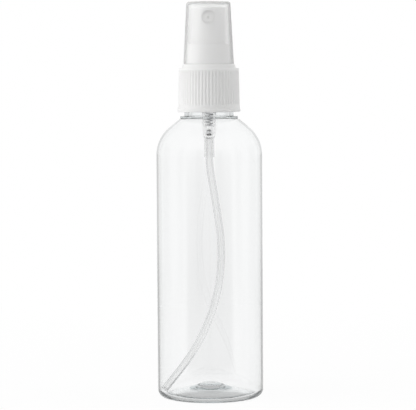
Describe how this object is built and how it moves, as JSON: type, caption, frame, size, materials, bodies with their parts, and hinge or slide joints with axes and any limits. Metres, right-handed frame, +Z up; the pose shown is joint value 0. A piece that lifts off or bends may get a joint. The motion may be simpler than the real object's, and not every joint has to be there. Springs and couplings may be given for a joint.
{
  "type": "spray bottle",
  "caption": "Clear round spray bottle with a ribbed screw collar, a finger-pressed fine-mist pump, a bent dip tube and a translucent pull-off dust cap.",
  "frame": {"origin": "centre of the base, on the surface that the bottle stands on", "axes": "+Z up along the bottle, the spray leaves the button towards -Y, +X is to the right in the picture"},
  "size_m": [0.0405, 0.0404, 0.1512],
  "materials": {
    "clear_bottle": "clear, smooth and glossy",
    "white_collar": "white moulded plastic with a satin gloss",
    "milky_cap": "milky translucent, satin gloss",
    "white_button": "white moulded plastic with a satin gloss",
    "nozzle_white": "white moulded plastic",
    "gasket_foam": "soft white sealing foam",
    "pump_natural": "natural translucent plastic",
    "guide_white": "white moulded plastic",
    "stem_white": "white moulded plastic",
    "piston_soft": "soft white plastic",
    "spring_steel": "drawn spring wire",
    "ball_steel": "polished ball",
    "tube_natural": "natural translucent plastic"
  },
  "bodies": {
    "bottle": {"bottle": "clear_bottle"},
    "pump": {"pump_body": "pump_natural", "stem_guide": "guide_white", "neck_gasket": "gasket_foam", "dip_tube": "tube_natural", "return_spring": "spring_steel"},
    "collar": {"screw_collar": "white_collar"},
    "cap": {"dust_cap": "milky_cap"},
    "stem": {"stem": "stem_white", "valve_pin": "stem_white"},
    "button": {"spray_button": "white_button", "nozzle_insert": "nozzle_white"},
    "piston": {"piston": "piston_soft"},
    "ball": {"check_ball": "ball_steel"}
  },
  "joints": [
    {"name": "pump_lift", "type": "slide", "parent": "bottle", "child": "pump", "axis": [0, 0, 1], "range_m": [0, 0.00476]},
    {"name": "collar_turn", "type": "hinge", "parent": "pump", "child": "collar", "pos_m": [0, 0, 0.118], "axis": [0, 0, 1], "range_deg": [0, 540]},
    {"name": "cap_lift", "type": "slide", "parent": "collar", "child": "cap", "axis": [0, 0, 1], "range_m": [0, 0.03]},
    {"name": "button_press", "type": "slide", "parent": "pump", "child": "stem", "axis": [0, 0, -1], "range_m": [0, 0.0045], "stiffness_N_per_m": 1200, "springref_m": -0.003, "deforming": ["return_spring"]},
    {"name": "button_turn", "type": "hinge", "parent": "stem", "child": "button", "pos_m": [0, 0, 0.14], "axis": [0, 0, 1], "continuous": true},
    {"name": "piston_slip", "type": "slide", "parent": "stem", "child": "piston", "axis": [0, 0, 1], "range_m": [0, 0.0006]},
    {"name": "ball_lift", "type": "slide", "parent": "pump", "child": "ball", "axis": [0, 0, 1], "range_m": [0, 0.0007]}
  ],
  "couplings": [
    {"joint": "pump_lift", "follows": "collar_turn", "m_per_rad": 0.00050532},
    {"joint": "piston_slip", "follows": "button_press", "ratio": 0.13333}
  ]
}
